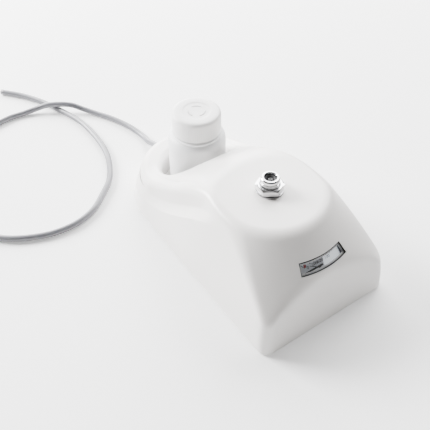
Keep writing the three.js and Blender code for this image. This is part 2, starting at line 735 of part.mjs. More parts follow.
function gaugeCase() {
  const [width, height] = CASE_SIZE;
  const box = block(width, height, 13, 0, CASE_CENTRE_Y, -14.1);
  const hollow = block(width - 3, height - 3, 13, 0, CASE_CENTRE_Y, -12.6);
  const ear = (side) => block(9, 7, 2, side * EAR_X, CASE_CENTRE_Y, -11.1);
  const earHole = (side) => rod(1.3, -14, -9, 10).translate(side * EAR_X, CASE_CENTRE_Y, 0);
  const stem = rod(2.6, -24, -20, 12).translate(-14, CASE_CENTRE_Y, 0);
  const barb = rod(BARB_RADIUS, -30, -23, 12).translate(-14, CASE_CENTRE_Y, 0);
  const bore = rod(BARB_RADIUS - 0.4, -31, -18, 10).translate(-14, CASE_CENTRE_Y, 0);
  const shell = joined(box, ear(1), ear(-1), stem, barb);
  const tools = [hollow, earHole(1), earHole(-1), bore];
  const hollowed = tools.reduce((left, tool) => left.subtract(solid(tool)), shell);
  const pin = rod(0.5, -20, -13, 10).translate(...SECTOR_SPOT, 0);
  return geometryOf(hollowed.add(solid(pin)));
}

function gearShape(teeth, from, to) {
  const pitch = (TOOTH_MODULE * teeth) / 2;
  const [root, tip] = [pitch - 1.25 * TOOTH_MODULE, pitch + 0.9 * TOOTH_MODULE];
  const step = (2 * Math.PI) / teeth;
  const points = [];
  for (let i = from; i < to; i += 1) {
    const corners = [[root, -0.26], [tip, -0.1], [tip, 0.1], [root, 0.26]];
    for (const [radius, share] of corners) {
      const angle = (i + share) * step;
      points.push(new THREE.Vector2(radius * Math.cos(angle), radius * Math.sin(angle)));
    }
  }
  return points;
}

function pointer() {
  const reach = 9;
  const blade = new THREE.Shape([
    new THREE.Vector2(-2.2, -0.45), new THREE.Vector2(-2.2, 0.45), new THREE.Vector2(reach, 0.12),
    new THREE.Vector2(reach, -0.12),
  ]);
  const hand = new THREE.ExtrudeGeometry(blade, { depth: 0.4, bevelEnabled: false })
    .translate(0, 0, -9.6);
  const hub = rod(0.9, -9.7, -8.9, 12);
  const shaft = rod(0.5, -18.8, -9.5, 10);
  const teeth = new THREE.Shape(gearShape(PINION_TEETH, 0, PINION_TEETH));
  const pinion = new THREE.ExtrudeGeometry(teeth, { depth: 2, bevelEnabled: false })
    .rotateZ((180 / PINION_TEETH + SECTOR_ANGLE - 90 - POINTER_REST) * degrees)
    .translate(0, 0, -15.5);
  return geometryOf(joined(hub, hand, shaft, pinion)).rotateZ((90 + POINTER_REST) * degrees);
}

function sectorGear() {
  const teeth = gearShape(SECTOR_TEETH, -4, 2);
  const tail = [new THREE.Vector2(0, 1.6), new THREE.Vector2(-1.6, 0), new THREE.Vector2(0, -1.6)];
  const shape = new THREE.Shape([...teeth, ...tail]);
  const plate = new THREE.ExtrudeGeometry(shape, { depth: 1.2, bevelEnabled: false })
    .translate(0, 0, -15.1);
  return geometryOf(cut(plate, rod(0.75, -20, -10, 12))).rotateZ(Math.PI + SECTOR_ANGLE * degrees);
}

function gaugeDial() {
  const plate = block(42.4, 14.4, 0.8, 0, CASE_CENTRE_Y, -10.4);
  return geometryOf(cut(plate, rod(0.8, -12, -9, 12).translate(0, POINTER_Y, 0)));
}

function bourdonTube() {
  const route = [];
  for (let i = 0; i <= 8; i += 1) {
    const angle = (-150 + 30 * i) * degrees;
    route.push([-14 + 4.6 * Math.cos(angle), CASE_CENTRE_Y + 4.6 * Math.sin(angle), -15.5]);
  }
  return tubeAlong(route, 0.9, 0, 20, 6);
}

function gaugeScrew() {
  return turned([[0, -14], [1.6, -14], [2.2, -13.4], [2.2, -12.5], [0.8, -12.5], [0.8, -7.4], [0, -7]], 10);
}

function placedInGauge(mesh, x = 0, y = 0) {
  mesh.position.set(x, y, 0);
  gauge.add(mesh);
}

placedInGauge(meshOf('gauge_case', gaugeCase(), blackPlastic));
placedInGauge(meshOf('gauge_dial', gaugeDial(), dialPaint));
placedInGauge(meshOf('gauge_lens', block(44, 16, 1, 0, CASE_CENTRE_Y, -6.8), clearPlastic));
placedInGauge(meshOf('gauge_pointer', pointer(), blackPlastic), 0, POINTER_Y);
placedInGauge(meshOf('sector_gear', sectorGear(), brass), ...SECTOR_SPOT);
placedInGauge(meshOf('bourdon_tube', bourdonTube(), brass));
placedInGauge(meshOf('gauge_screw_left', gaugeScrew(), steel), -EAR_X, CASE_CENTRE_Y);
placedInGauge(meshOf('gauge_screw_right', gaugeScrew(), steel), EAR_X, CASE_CENTRE_Y);

// ---------------------------------------------------------------- regulator and air lines

function regulatorBody() {
  const body = turned([
    [0, 9.4], [8.6, 9.4], [8.6, 12], [12, 12], [12, 22], [9, 24], [9, 34], [0, 34],
  ], 20);
  const flange = turned([[4, 4.8], [12.5, 4.8], [12.5, 6.4], [10.6, 6.4], [10.6, 12.5], [4, 12.5]], 20);
  const barb = (side) => rod(BARB_RADIUS, 8, 15.5, 12).rotateY(side * Math.PI / 2).translate(0, 0, 18);
  const collar = geometryOf(cut(flange, rod(9.7, 0, 11, 20)));
  return geometryOf(joined(body, collar, barb(1), barb(-1)));
}

function regulatorKnob() {
  return turned([
    [0, 2.4], [7, 2.4], [7.8, 3.2], [7.8, 8.4], [7, 9], [0, 9],
  ], 18);
}

placedAt(meshOf('regulator_body', regulatorBody(), brass), REGULATOR_X, REGULATOR_Y);
placedAt(meshOf('regulator_knob', regulatorKnob(), blackPlastic), REGULATOR_X, REGULATOR_Y);

const gaugeBarb = new THREE.Vector3(-14, CASE_CENTRE_Y, -24.4).applyMatrix4(gauge.matrix).toArray();
const gaugeAxis = new THREE.Vector3(0, 0, -1).transformDirection(gauge.matrix).toArray();
const beyond = (distance) => gaugeBarb.map((value, k) => value + gaugeAxis[k] * distance);

const SUPPLY_LINE = [
  [GLAND_X, 117.4, LINE_Z], [GLAND_X - 1, 111, LINE_Z], [-13, 104, LINE_Z], [-25, 95, LINE_Z],
  [-34.5, 84, LINE_Z], [-39.5, 70, LINE_Z + 1], [-41, 55, 14], [-42, 38, 16], [-44, 10, 18], [-46, -25, 18],
  [-48, -40, 18], [-48, -49, 18], [-45.5, -55.5, 18], [-40.5, REGULATOR_Y, 18],
  [REGULATOR_X - 12.4, REGULATOR_Y, 18],
];
const VALVE_LINE = [
  [REGULATOR_X + 12.4, REGULATOR_Y, 18], [-4, REGULATOR_Y, 18], [12, -56, 22], [24, -48, 34],
  [26, -41, 46], [21, COUPLER_Y, 53], [14, COUPLER_Y, 53], [8.4, COUPLER_Y, 53],
];
const GAUGE_LINE = [
  [-8.4, COUPLER_Y, 53], [-14, COUPLER_Y, 53], [-19.5, -43, 52], [-20.5, -53, 48],
  [-19, -64, 40], [-16, -72, 33], beyond(11), beyond(6), beyond(0),
];
part.add(meshOf('supply_line', tubeAlong(SUPPLY_LINE, LINE_RADIUS, LINE_BORE, 26), tubePlastic));
part.add(meshOf('valve_line', tubeAlong(VALVE_LINE, LINE_RADIUS, LINE_BORE, 16), tubePlastic));
part.add(meshOf('gauge_line', tubeAlong(GAUGE_LINE, LINE_RADIUS, LINE_BORE, 16), tubePlastic));

// ---------------------------------------------------------------- supply tube and its gland

function tubeGland() {
  return turned([
    [3.3, 113.4], [6.4, 112.4], [6.8, 113.8], [4.8, 114], [4.8, 119], [6.8, 119.2], [6.4, 121], [5, 121.6],
    [3.3, 121.6],
  ], 20).rotateX(-Math.PI / 2).translate(GLAND_X, 0, LINE_Z);
}

part.add(meshOf('tube_gland', tubeGland(), rubber));
part.add(meshOf('supply_tube', tubeAlong(TUBE_ROUTE, TUBE_RADIUS, 0, TUBE_STEPS), tubePlastic));

export default part;
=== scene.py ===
"""Dental handpiece maintenance station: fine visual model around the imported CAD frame.

Metres, +Z up, front faces -Y.  Shapes that CAD holds coarsely are remade here from the same formulas.
"""
import json
import math
import bmesh
import bpy
from mathutils import Matrix, Vector


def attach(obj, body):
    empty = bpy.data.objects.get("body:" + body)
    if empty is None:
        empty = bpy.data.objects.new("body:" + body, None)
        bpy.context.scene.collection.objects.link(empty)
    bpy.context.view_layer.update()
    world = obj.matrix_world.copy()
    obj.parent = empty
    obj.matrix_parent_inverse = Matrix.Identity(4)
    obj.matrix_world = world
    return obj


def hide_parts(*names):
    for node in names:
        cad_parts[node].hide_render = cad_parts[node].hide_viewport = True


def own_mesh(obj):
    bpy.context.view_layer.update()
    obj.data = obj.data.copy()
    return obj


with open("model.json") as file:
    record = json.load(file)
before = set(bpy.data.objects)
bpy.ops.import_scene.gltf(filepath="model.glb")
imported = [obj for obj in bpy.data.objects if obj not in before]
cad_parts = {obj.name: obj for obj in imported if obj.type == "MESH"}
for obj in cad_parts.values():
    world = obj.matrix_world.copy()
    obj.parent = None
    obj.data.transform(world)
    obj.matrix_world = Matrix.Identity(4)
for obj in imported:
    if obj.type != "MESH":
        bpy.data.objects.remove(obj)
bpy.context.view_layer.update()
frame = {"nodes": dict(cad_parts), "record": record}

MM = 0.001

# ------------------------------------------------------------------ driving dimensions (mm)

HALF_WIDTH = 62
HALF_LENGTH = 119
CORNER_RADIUS = 9
SHELL_BOTTOM = 1.5
WALL = 3
PLATEAU_HEIGHT = 78
COUPLER_Y = -38.3
CONE_TOP_RADIUS = 46
CONE_SLOPE = 1.07
EDGE_SOFTNESS = 5
FRONT_LEAN = 0.08
FRONT_BULGE = 0.0015
SIDE_BULGE = 0.0028
REAR_SIDE_LEAN = 0.22
REAR_END_LEAN = 0.05
LEAN_BLEND = (-28, 60)
FRONT_RIM_DROP = 4.5
FRONT_RIM_RUN = 6
REAR_RIM_SIZE = 9
RIM_BLEND = (-38.3, 30)
HIGHEST_EDGE = 66
DISC_RADIUS = 40
DECK_START = -28.8
DECK_END = 87.2
DISC_BULGE = 24
DECK_DROP = 46.5
SIDE_SECTIONS = (
    (-38.3, 45.5, 66),
    (-14.3, 44.5, 60),
    (5.7, 46, 48),
    (25.7, 48.5, 36),
    (45.7, 50.5, 27),
    (63.5, 52.5, 22),
)
REAR_RIM_REACH = 54.2
REAR_CREASE = 17
CREASE_RUN = 5
SECTION_BLEND = (-38.3, -12)
WELL_Y = 63.5
WELL_RADIUS = 33
WELL_LIP = 5
WELL_FLOOR = 9.5
CUP_RADIUS = 35.5
CUP_UNDERSIDE = 7
WINDOW_INNER = 63
WINDOW_OUTER = 70.7
WINDOW_HALF_ANGLE = 17.9
GAUGE_HEIGHT = 58.5
PANEL_HOLE = 7.8
GLAND_HOLE = 5.2
GLAND_X = -6
LINE_Z = 12

TUBE_RADIUS = 2.9
TUBE_BORE = 1.9
TUBE_REST = 3.1
TUBE_ROUTE = (
    (-6, 118, 12), (-6, 126, 11.8), (-6, 136, 9.2), (-6, 147, 5.2), (-5, 159, TUBE_REST),
    (-8, 179, TUBE_REST), (-13, 195, TUBE_REST), (-20, 211, TUBE_REST), (-27, 223, TUBE_REST),
    (-36, 236, 5), (-45, 245.5, 8.3), (-56, 253, 9.4), (-67, 260, 8.4), (-79, 265.5, 5),
    (-92, 268, TUBE_REST), (-105, 269, TUBE_REST), (-119, 267, TUBE_REST), (-140, 262, TUBE_REST),
    (-165, 250, TUBE_REST), (-188, 230, TUBE_REST), (-202, 204, TUBE_REST), (-207, 175, TUBE_REST),
    (-203, 147, TUBE_REST), (-192, 122, TUBE_REST), (-175, 103, TUBE_REST), (-158, 92.5, TUBE_REST),
    (-138, 85.5, TUBE_REST), (-115, 85, TUBE_REST), (-96, 92, TUBE_REST), (-79, 106, TUBE_REST),
    (-66, 119, TUBE_REST), (-55, 139, TUBE_REST), (-48.5, 160, TUBE_REST), (-46, 188, TUBE_REST),
    (-48, 220, TUBE_REST), (-57, 251, TUBE_REST), (-67, 277, TUBE_REST), (-80, 300, TUBE_REST),
    (-97, 321, TUBE_REST),
)

# ------------------------------------------------------------------ small helpers


def clamp(value, low=0.0, high=1.0):
    return min(max(value, low), high)


def smoothstep(low, high, value):
    t = clamp((value - low) / (high - low))
    return t * t * (3 - 2 * t)


def mix(a, b, t):
    return a + (b - a) * t


def mix_pair(a, b, t):
    return (mix(a[0], b[0], t), mix(a[1], b[1], t))


def mesh_object(name, vertices, faces, scale=MM, smooth=True):
    mesh = bpy.data.meshes.new(name)
    mesh.from_pydata([tuple(scale * c for c in v) for v in vertices], [], faces)
    mesh.validate()
    bm = bmesh.new()
    bm.from_mesh(mesh)
    bmesh.ops.recalc_face_normals(bm, faces=bm.faces)
    bm.to_mesh(mesh)
    bm.free()
    for polygon in mesh.polygons:
        polygon.use_smooth = smooth
    obj = bpy.data.objects.new(name, mesh)
    bpy.context.scene.collection.objects.link(obj)
    return obj


def finish_piece(obj, body, slot, look, *replaced):
    obj.data.materials.clear()
    obj.data.materials.append(look)
    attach(obj, body)
    if replaced:
        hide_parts(*replaced)
    return obj


def bevel_edges(obj, width, segments=2, angle=35):
    bevel = obj.modifiers.new("edges", "BEVEL")
    bevel.width = width * MM
    bevel.segments = segments
    bevel.limit_method = "ANGLE"
    bevel.angle_limit = math.radians(angle)
    bevel.harden_normals = False
    return obj


def lathe(name, profile, segments=96, centre=(0, 0), ripple=None):
    """A closed turned solid about +Z; points with radius 0 are poles.  ripple(point, angle) -> radius."""
    vertices, rings = [], []
    for spot in profile:
        radius, z = spot
        if radius == 0:
            rings.append([len(vertices)])
            vertices.append((centre[0], centre[1], z))
            continue
        ring = []
        for k in range(segments):
            angle = 2 * math.pi * k / segments
            r = ripple(spot, angle) if ripple else radius
            ring.append(len(vertices))
            vertices.append((centre[0] + r * math.cos(angle), centre[1] + r * math.sin(angle), z))
        rings.append(ring)
    faces = []
    pairs = list(zip(rings, rings[1:]))
    if len(rings[0]) > 1 and len(rings[-1]) > 1:
        pairs.append((rings[-1], rings[0]))
    for low, high in pairs:
        for k in range(segments):
            n = (k + 1) % segments
            if len(low) == 1:
                faces.append((low[0], high[n], high[k]))
            elif len(high) == 1:
                faces.append((low[k], low[n], high[0]))
            else:
                faces.append((low[k], low[n], high[n], high[k]))
    return mesh_object(name, vertices, faces)


def rounded(profile, radius, steps=4):
    """Round each inner corner of an open profile of (radius, height) points."""
    out = [profile[0]]
    for before, corner, after in zip(profile, profile[1:], profile[2:]):
        a, c, b = Vector(before), Vector(corner), Vector(after)
        reach = min(radius, 0.45 * (a - c).length, 0.45 * (b - c).length)
        start = c + (a - c).normalized() * reach
        end = c + (b - c).normalized() * reach
        for k in range(steps + 1):
            t = k / steps
            spot = (1 - t) ** 2 * start + 2 * t * (1 - t) * c + t * t * end
            out.append((spot.x, spot.y))
    out.append(profile[-1])
    return out


def cut_with(obj, *tools):
    for tool in tools:
        modifier = obj.modifiers.new("cut", "BOOLEAN")
        modifier.operation = "DIFFERENCE"
        modifier.solver = "EXACT"
        modifier.object = tool
    graph = bpy.context.evaluated_depsgraph_get()
    graph.update()
    result = bpy.data.meshes.new_from_object(obj.evaluated_get(graph))
    obj.modifiers.clear()
    obj.data = result
    for tool in tools:
        bpy.data.objects.remove(tool)
    return obj


# ------------------------------------------------------------------ camera and cord


def make_camera():
    camera = bpy.data.objects.new("camera", bpy.data.cameras.new("camera"))
    bpy.context.scene.collection.objects.link(camera)
    camera.location = Vector((-225.9, -293.7, 395.3)) * MM
    target = Vector((-6.66, 25.7, 0)) * MM
    camera.rotation_euler = (target - camera.location).to_track_quat("-Z", "Y").to_euler()
    camera.data.lens = 50.70
    camera.data.sensor_width = 36
    camera.data.clip_start = 0.01
    bpy.context.scene.camera = camera


def catmull_rom(points, per_span):
    """Centripetal curve through points, as the CAD tube follows."""
    spots = [Vector(p) for p in points]
    spots.insert(0, 2 * spots[0] - spots[1])
    spots.append(2 * spots[-1] - spots[-2])
    out = []
    for p0, p1, p2, p3 in zip(spots, spots[1:], spots[2:], spots[3:]):
        d0, d1, d2 = ((b - a).length ** 0.5 for a, b in ((p0, p1), (p1, p2), (p2, p3)))
        m1 = ((p1 - p0) / d0 - (p2 - p0) / (d0 + d1) + (p2 - p1) / d1) * d1
        m2 = ((p2 - p1) / d1 - (p3 - p1) / (d1 + d2) + (p3 - p2) / d2) * d1
        for k in range(per_span):
            t = k / per_span
            out.append(
                (2 * t**3 - 3 * t**2 + 1) * p1 + (t**3 - 2 * t**2 + t) * m1
                + (3 * t**2 - 2 * t**3) * p2 + (t**3 - t**2) * m2
            )
    out.append(spots[-2])
    return out


def path_frames(path):
    """Side and up directions along a path, carried without twist."""
    frames = []
    side = None
    for k, spot in enumerate(path):
        ahead = path[min(k + 1, len(path) - 1)] - path[max(k - 1, 0)]
        ahead.normalize()
        if side is None:
            side = ahead.cross(Vector((0, 0, 1))).normalized()
        side = (side - ahead * side.dot(ahead)).normalized()
        frames.append((spot, side, side.cross(ahead).normalized()))
    return frames


def hollow_tube(name, path, radius, bore, sides=28, bore_depth=14):
    """A tube whose last rings turn into its bore, so that the cut end shows hollow."""
    frames = path_frames(path)
    rings = [(spot, s, u, radius) for spot, s, u in frames]
    lip = [(radius - 0.12, 0.0), (bore + 0.1, 0.0)]
    last, s, u = frames[-1]
    ahead = (frames[-1][0] - frames[-2][0]).normalized()
    for r, step in lip:
        rings.append((last + ahead * (0.1 + step), s, u, r))
    for spot, side, up in reversed(frames[-bore_depth:]):
        rings.append((spot, side, up, bore))
    vertices, faces = [], []
    for spot, side, up, r in rings:
        for k in range(sides):
            angle = 2 * math.pi * k / sides
            vertices.append(spot + side * (r * math.cos(angle)) + up * (r * math.sin(angle)))
    for i in range(len(rings) - 1):
        for k in range(sides):
            n = (k + 1) % sides
            faces.append((i * sides + k, i * sides + n, (i + 1) * sides + n, (i + 1) * sides + k))
    faces.append(tuple(range(sides)))
    faces.append(tuple(range((len(rings) - 1) * sides, len(rings) * sides)))
    return mesh_object(name, vertices, faces)


# ------------------------------------------------------------------ materials


class Look:
    """A procedural material: a Principled shader with node-made colour, roughness and relief."""

    def __init__(self, name):
        self.material = bpy.data.materials.new(name)
        self.material.use_nodes = True
        self.tree = self.material.node_tree
        self.shader = self.tree.nodes["Principled BSDF"]
        self.coordinates = self.tree.nodes.new("ShaderNodeTexCoord")

    def node(self, kind, **values):
        node = self.tree.nodes.new(kind)
        for key, value in values.items():
            if key in node.inputs:
                node.inputs[key].default_value = value
            else:
                setattr(node, key, value)
        return node

    def link(self, source, target):
        self.tree.links.new(source, target)

    def noise(self, scale, detail=4.0, stretch=None):
        texture = self.node("ShaderNodeTexNoise", Scale=scale, Detail=detail)
        source = self.coordinates.outputs["Object"]
        if stretch:
            mapping = self.node("ShaderNodeMapping")
            mapping.inputs["Scale"].default_value = stretch
            self.link(source, mapping.inputs["Vector"])
            source = mapping.outputs["Vector"]
        self.link(source, texture.inputs["Vector"])
        return texture.outputs["Fac"]

    def ramp(self, source, stops):
        ramp = self.node("ShaderNodeValToRGB")
        elements = ramp.color_ramp.elements
        while len(elements) < len(stops):
            elements.new(0.5)
        for element, (place, colour) in zip(elements, stops):
            element.position = place
            element.color = (*colour, 1)
        self.link(source, ramp.inputs["Fac"])
        return ramp.outputs["Color"]

    def colour(self, source, low, high):
        self.link(self.ramp(source, [(0.3, low), (0.7, high)]), self.shader.inputs["Base Color"])

    def roughness(self, source, low, high):
        remap = self.node("ShaderNodeMapRange")
        remap.inputs["To Min"].default_value = low
        remap.inputs["To Max"].default_value = high
        self.link(source, remap.inputs["Value"])
        self.link(remap.outputs["Result"], self.shader.inputs["Roughness"])

    def relief(self, source, strength, distance):
        bump = self.node("ShaderNodeBump", Strength=strength, Distance=distance)
        self.link(source, bump.inputs["Height"])
        self.link(bump.outputs["Normal"], self.shader.inputs["Normal"])

    def set(self, **values):
        for key, value in values.items():
            self.shader.inputs[key.replace("_", " ")].default_value = value
        return self


def shade(colour, factor):
    return tuple(clamp(c * factor) for c in colour)


def plastic(name, colour, rough, spread=0.03, grain=900, depth=0.00002, strength=0.25):
    look = Look(name)
    look.colour(look.noise(45), shade(colour, 1 - spread), shade(colour, 1 + spread))
    look.roughness(look.noise(130), rough - 0.05, rough + 0.05)
    look.relief(look.noise(grain, 2.0), strength, depth)
    return look.set(IOR=1.5)


def metal(name, colour, rough, stretch=None, spread=0.06):
    look = Look(name)
    look.colour(look.noise(160, stretch=stretch), shade(colour, 1 - spread), shade(colour, 1 + spread))
    look.roughness(look.noise(420, stretch=stretch), max(rough - 0.05, 0.03), rough + 0.07)
    look.relief(look.noise(1500, 2.0, stretch), 0.12, 0.00002)
    return look.set(Metallic=1.0)


def make_looks():
    looks = {
        "shell_plastic": plastic("shell_plastic", (0.80, 0.78, 0.76), 0.3, 0.012, 1400, 0.00001, 0.12),
        "base_plastic": plastic("base_plastic", (0.45, 0.45, 0.44), 0.6, 0.04, 700, 0.00006, 0.5),
        "rubber": plastic("rubber", (0.025, 0.025, 0.027), 0.8, 0.25, 600, 0.00008, 0.5),
        "black_plastic": plastic("black_plastic", (0.03, 0.03, 0.032), 0.45, 0.2, 900, 0.00003, 0.3),
        "steel": metal("steel", (0.42, 0.42, 0.43), 0.32, (1, 1, 12)),
        "chrome": metal("chrome", (0.68, 0.68, 0.69), 0.13),
        "brass": metal("brass", (0.62, 0.47, 0.22), 0.28),
        "liner_foam": plastic("liner_foam", (0.75, 0.75, 0.73), 0.85, 0.05, 500, 0.0001, 0.6),
        "dial_paint": plastic("dial_paint", (0.66, 0.67, 0.70), 0.45, 0.03),
        "red_print": plastic("red_print", (0.55, 0.06, 0.07), 0.5, 0.05),
    }
    looks["bezel"] = plastic("bezel", (0.36, 0.36, 0.37), 0.4, 0.05)
    # glowing white patch for the dial's right half: painted reflection seen in the window, not print
    looks["painted_reflection"] = plastic("painted_reflection", (0.85, 0.87, 0.9), 0.4, 0.02)
    looks["painted_reflection"].set(Emission_Color=(0.9, 0.95, 1, 1), Emission_Strength=0.9)
    # dial_paint glows faintly: painted light on the dial face, standing in for the light that reaches it
    # through the lens
    looks["dial_paint"].set(Emission_Color=(0.9, 0.93, 1, 1), Emission_Strength=0.16)
    bottle = plastic("bottle_plastic", (0.89, 0.895, 0.91), 0.42, 0.012, 500, 0.00003, 0.2)
    bottle.set(Subsurface_Weight=0.5, Subsurface_Radius=(0.01, 0.01, 0.01), Subsurface_Scale=0.6)
    cap = plastic("cap_plastic", (0.89, 0.88, 0.87), 0.4, 0.012, 700, 0.00003, 0.2)
    cap.set(Subsurface_Weight=0.6, Subsurface_Radius=(0.01, 0.01, 0.01), Subsurface_Scale=0.5)
    tube = plastic("tube_plastic", (0.15, 0.15, 0.165), 0.34, 0.06, 300, 0.00005, 0.2)
    tube.set(Coat_Weight=0.25, Coat_Roughness=0.25)
    looks.update(bottle_plastic=bottle, cap_plastic=cap, tube_plastic=tube, clear_plastic=clear_look())
    return {name: look.material for name, look in looks.items()}


def clear_look():
    look = plastic("clear_plastic", (0.95, 0.97, 0.98), 0.08, 0.01, 200, 0.00001, 0.05)
    return look.set(Alpha=0.09, IOR=1.45)


# ------------------------------------------------------------------ housing formulas (mm)


def soft_minimum(a, b, softness):
    near = max(softness - abs(a - b), 0) / softness
    return min(a, b) - near * near * softness / 4


def deck_height(x, y):
    across = min(abs(x) / DISC_RADIUS, 1)
    start = DECK_START + DISC_BULGE * math.sqrt(1 - across * across)
    return PLATEAU_HEIGHT - DECK_DROP * smoothstep(start, DECK_END, y)


def side_section(place, item):
    rows = SIDE_SECTIONS
    i = 0
    while i < len(rows) - 2 and place > rows[i + 1][0]:
        i += 1

    def slope(k):
        before, after = rows[max(k - 1, 0)], rows[min(k + 1, len(rows) - 1)]
        return (after[item] - before[item]) / (after[0] - before[0])

    span = rows[i + 1][0] - rows[i][0]
    t = clamp((place - rows[i][0]) / span)
    return (
        (2 * t**3 - 3 * t**2 + 1) * rows[i][item] + (t**3 - 2 * t**2 + t) * span * slope(i)
        + (3 * t**2 - 2 * t**3) * rows[i + 1][item] + (t**3 - t**2) * span * slope(i + 1)
    )


def rounded_box_reach(angle, across, along, radius):
    c, s = math.cos(angle), math.sin(angle)
    flat = min(across / max(c, 1e-9), along / max(s, 1e-9))
    corner_x, corner_y = across - radius, along - radius
    if flat * c <= corner_x or flat * s <= corner_y:
        return flat
    middle = c * corner_x + s * corner_y
    return middle + math.sqrt(middle**2 - corner_x**2 - corner_y**2 + radius**2)


def front_box_reach(angle, z, inset):
    across = HALF_WIDTH - SIDE_BULGE * z * z - inset
    along = HALF_LENGTH + COUPLER_Y - FRONT_LEAN * z - FRONT_BULGE * z * z - inset
    return rounded_box_reach(angle, across, along, max(CORNER_RADIUS - inset, 4))


def cone_reach(z, inset):
    slant = math.hypot(1, CONE_SLOPE)
    return CONE_TOP_RADIUS + CONE_SLOPE * (PLATEAU_HEIGHT - z) - inset * slant


def edge_height(angle, inset):
    low, high = 5, 74
    for _ in range(30):
        middle = (low + high) / 2
        if cone_reach(middle, inset) > front_box_reach(angle, middle, inset):
            low = middle
        else:
            high = middle
    return min(low, HIGHEST_EDGE)


def bezier(start, control, end, t):
    u = 1 - t
    return tuple(u * u * a + 2 * u * t * b + t * t * c for a, b, c in zip(start, control, end))


WALL_STEPS = (10, 8, 8, 6, 6, 5, 5, 4)
RIM_STEPS = 12
DECK_STEPS = 44
LIP_STEPS = 10
WELL_STEPS = 6


def spread(heights, steps):
    out = [heights[0]]
    for low, high, count in zip(heights, heights[1:], steps):
        out += [mix(low, high, (k + 1) / count) for k in range(count)]
    return out


def front_section(angle, bottom, inset):
    top = PLATEAU_HEIGHT - inset
    edge = edge_height(angle, inset)
    last = top - FRONT_RIM_DROP
    heights = [bottom, 0.35 * edge, 0.7 * edge, edge - 4, edge - 1, edge + 1.5, edge + 4]
    heights += [(edge + 4 + last) / 2, last]

    def reach(z):
        return soft_minimum(front_box_reach(angle, z, inset), cone_reach(z, inset), EDGE_SOFTNESS)

    wall = [(reach(z), z) for z in spread(heights, WALL_STEPS)]
    return wall, reach(top), FRONT_RIM_RUN


def creased_section(wall_reach, rim, crease, rim_top, size, bottom):
    low = crease - CREASE_RUN
    ledge, bend = (wall_reach(low), low), (rim + 1.8, crease)
    foot = (rim + 0.9, crease + 0.6 * CREASE_RUN)
    last = (rim + 0.2, rim_top - size)
    wall = [(wall_reach(z), z) for z in spread([bottom, 0.35 * low, 0.7 * low, low], WALL_STEPS)]
    count = sum(WALL_STEPS[3:6])
    wall += [bezier(ledge, bend, foot, (k + 1) / count) for k in range(count)]
    count = sum(WALL_STEPS[6:])
    wall += [mix_pair(foot, last, (k + 1) / count) for k in range(count)]
    return wall, rim, size


def side_wall_section(place, bottom, inset):
    blend = smoothstep(*LEAN_BLEND, place)

    def wall_reach(z):
        return HALF_WIDTH - inset - mix(SIDE_BULGE * z * z, REAR_SIDE_LEAN * z, blend)

    rim = side_section(place, 1) - inset
    size = mix(FRONT_RIM_RUN, REAR_RIM_SIZE, smoothstep(*RIM_BLEND, place))
    rim_top = deck_height(rim, place) - inset
    creased = creased_section(wall_reach, rim, side_section(place, 2), rim_top, size, bottom)
    weight = smoothstep(*SECTION_BLEND, place)
    if weight == 1:
        return creased
    plain = front_section(0, bottom, inset)
    drop = (PLATEAU_HEIGHT - inset) - rim_top
    wall = []
    for a, b in zip(plain[0], creased[0]):
        lowered = (a[0], a[1] - drop * a[1] / PLATEAU_HEIGHT)
        wall.append(mix_pair(lowered, b, weight))
    return wall, mix(plain[1], creased[1], weight), mix(plain[2], creased[2], weight)


def rear_section(angle, bottom, inset):
    c, s = math.cos(angle), math.sin(angle)
    base = 1 / math.hypot(c / HALF_WIDTH, s / (HALF_LENGTH - WELL_Y))
    lean = mix(REAR_SIDE_LEAN, REAR_END_LEAN, s * s)
    side = SIDE_SECTIONS[-1]
    rim = mix(side[1], REAR_RIM_REACH, s * s) - inset
    crease = mix(side[2], REAR_CREASE, s * s)
    rim_top = deck_height(rim * c, WELL_Y + rim * s) - inset
    return creased_section(lambda z: base - inset - lean * z, rim, crease, rim_top, REAR_RIM_SIZE, bottom)


def column_points(section, anchor_y, heading, inset, pit):
    wall, corner_reach, run = section
    c, s = math.cos(heading), math.sin(heading)

    def place(spot):
        return (c * spot[0], anchor_y + s * spot[0], spot[1])

    points = [place(spot) for spot in wall]
    end_reach = corner_reach - run
    end = place((end_reach, 0))
    corner_spot = place((corner_reach, 0))
    corner = (corner_reach, deck_height(corner_spot[0], corner_spot[1]) - inset)
    finish = (end_reach, deck_height(end[0], end[1]) - inset)
    points += [place(bezier(wall[-1], corner, finish, (k + 1) / RIM_STEPS)) for k in range(RIM_STEPS)]
    away = math.hypot(end[0], end[1] - WELL_Y)
    toward = (end[0] / away, (end[1] - WELL_Y) / away)

    def around(radius, z):
        return (toward[0] * radius, WELL_Y + toward[1] * radius, z)

    for k in range(DECK_STEPS):
        radius = mix(away, pit["edge"], (k + 1) / DECK_STEPS)
        spot = around(radius, 0)
        points.append(around(radius, deck_height(spot[0], spot[1]) - inset))
    lip = points[-1][2]
    if pit["lip"]:
        for k in range(LIP_STEPS):
            turn = math.pi / 2 * (k + 1) / LIP_STEPS
            reach = pit["edge"] - WELL_LIP * math.sin(turn)
            points.append(around(reach, lip - WELL_LIP * (1 - math.cos(turn))))
    start = points[-1][2]
    for k in range(WELL_STEPS):
        points.append(around(pit["radius"], mix(start, pit["floor"], (k + 1) / WELL_STEPS)))
    return points


def half_columns(bottom, inset, pit):
    columns = []
    for k in range(66):
        angle = math.radians(90 - 90 * k / 65)
        columns.append(column_points(front_section(angle, bottom, inset), COUPLER_Y, -angle, inset, pit))
    for k in range(1, 56):
        place = mix(COUPLER_Y, WELL_Y, k / 56)
        columns.append(column_points(side_wall_section(place, bottom, inset), place, 0, inset, pit))
    for k in range(37):
        angle = math.radians(2.5 * k)
        columns.append(column_points(rear_section(angle, bottom, inset), WELL_Y, angle, inset, pit))
    return columns


def full_columns(bottom, inset, pit):
    half = half_columns(bottom, inset, pit)
    other = [[(-x, y, z) for x, y, z in column] for column in reversed(half[1:-1])]
    return half + other


